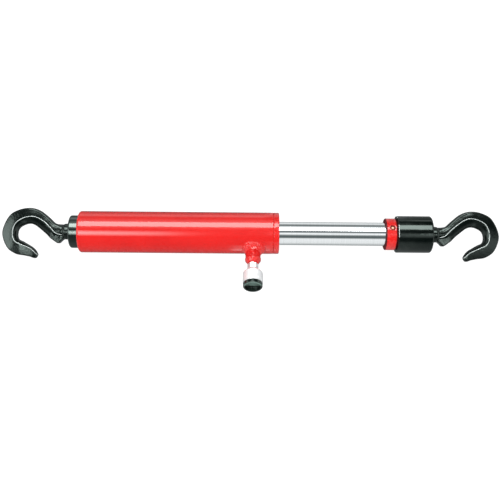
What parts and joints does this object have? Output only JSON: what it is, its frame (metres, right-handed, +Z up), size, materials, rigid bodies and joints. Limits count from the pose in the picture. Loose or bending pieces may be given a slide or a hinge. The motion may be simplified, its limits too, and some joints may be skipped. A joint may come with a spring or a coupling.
{
  "type": "hydraulic pull cylinder",
  "caption": "Single-acting hydraulic pull ram with a spring-returned chrome rod, a side oil port with hose coupler and dust cap, and a swivel hook at each end.",
  "frame": {"origin": "on the ground under the middle of the part's box; the cylinder's axis lies 28.5 mm above the ground and 30.11 mm toward +Y", "axes": "+X along the cylinder toward the rod hook, +Z up, the oil port points toward -Y and slightly down"},
  "size_m": [0.6824, 0.1172, 0.057],
  "materials": {
    "red_paint": "gloss red enamel over steel, with orange peel and rough cover on the weld and the gland ring",
    "black_paint": "gloss black enamel on turned steel",
    "hook_paint": "semi-gloss black paint on a drop forging",
    "hard_chrome": "ground and hard-chromed rod",
    "plated_steel": "bright nickel plate on turned steel",
    "machined_steel": "turned steel",
    "spring_steel": "oil-tempered spring wire",
    "black_oxide": "black oxide on alloy steel",
    "ball_steel": "polished bearing ball",
    "bronze": "sintered bronze bush",
    "seal_rubber": "nitrile rubber",
    "cap_rubber": "moulded black rubber dust cap",
    "seal_urethane": "cast urethane lip seal",
    "backup_ptfe": "white filled backup ring",
    "wear_ring_resin": "fabric-filled resin wear ring"
  },
  "bodies": {
    "barrel": {"barrel_tube": "red_paint", "base_cap": "black_paint", "gland_head": "red_paint", "gland_bush": "bronze", "rod_seal": "seal_urethane", "backup_ring": "backup_ptfe", "rod_wiper": "seal_rubber", "gland_oring": "seal_rubber", "port_boss": "red_paint", "port_weld": "red_paint", "hex_nipple": "plated_steel", "coupler_body": "plated_steel", "coupler_oring": "seal_rubber", "return_spring": "spring_steel", "check_spring": "spring_steel"},
    "union": {"union_collar": "plated_steel"},
    "cap": {"dust_cap": "cap_rubber"},
    "valve_ball": {"check_ball": "ball_steel"},
    "piston_rings": {"piston_seal": "seal_urethane", "piston_wear_ring": "wear_ring_resin"},
    "rod": {"piston_rod": "hard_chrome", "piston": "machined_steel", "piston_oring": "seal_rubber", "piston_nut": "machined_steel", "rod_collar": "red_paint", "collar_set_screw": "red_paint", "hook_sleeve": "black_paint"},
    "rod_swivel": {"rod_hook": "hook_paint", "rod_hook_nut": "machined_steel", "rod_hook_pin": "black_oxide", "rod_hook_washer": "machined_steel"},
    "base_swivel": {"base_hook": "hook_paint", "base_hook_nut": "machined_steel", "base_hook_pin": "black_oxide", "base_hook_washer": "machined_steel"}
  },
  "joints": [
    {"name": "rod_slide", "type": "slide", "parent": "barrel", "child": "piston_rings", "axis": [1, 0, 0], "range_m": [-0.14, 0], "stiffness_N_per_m": 4600, "springref_m": 0.023, "deforming": ["return_spring"]},
    {"name": "rod_turn", "type": "hinge", "parent": "piston_rings", "child": "rod", "pos_m": [0, 0.03011, 0.0285], "axis": [1, 0, 0], "continuous": true},
    {"name": "rod_hook_swivel", "type": "hinge", "parent": "rod", "child": "rod_swivel", "pos_m": [0.248, 0.03011, 0.0285], "axis": [1, 0, 0], "continuous": true},
    {"name": "base_hook_swivel", "type": "hinge", "parent": "barrel", "child": "base_swivel", "pos_m": [-0.248, 0.03011, 0.0285], "axis": [1, 0, 0], "continuous": true},
    {"name": "union_turn", "type": "hinge", "parent": "barrel", "child": "union", "pos_m": [0.0035, -0.04073, 0.01563], "axis": [0, -0.9839, -0.1788], "continuous": true},
    {"name": "dust_cap_pull", "type": "slide", "parent": "union", "child": "cap", "axis": [0, -0.9839, -0.1788], "range_m": [0, 0.05]},
    {"name": "check_ball_lift", "type": "slide", "parent": "barrel", "child": "valve_ball", "axis": [0, 0.9839, 0.1788], "range_m": [0, 0.002], "stiffness_N_per_m": 400, "springref_m": -0.003, "deforming": ["check_spring"]}
  ]
}
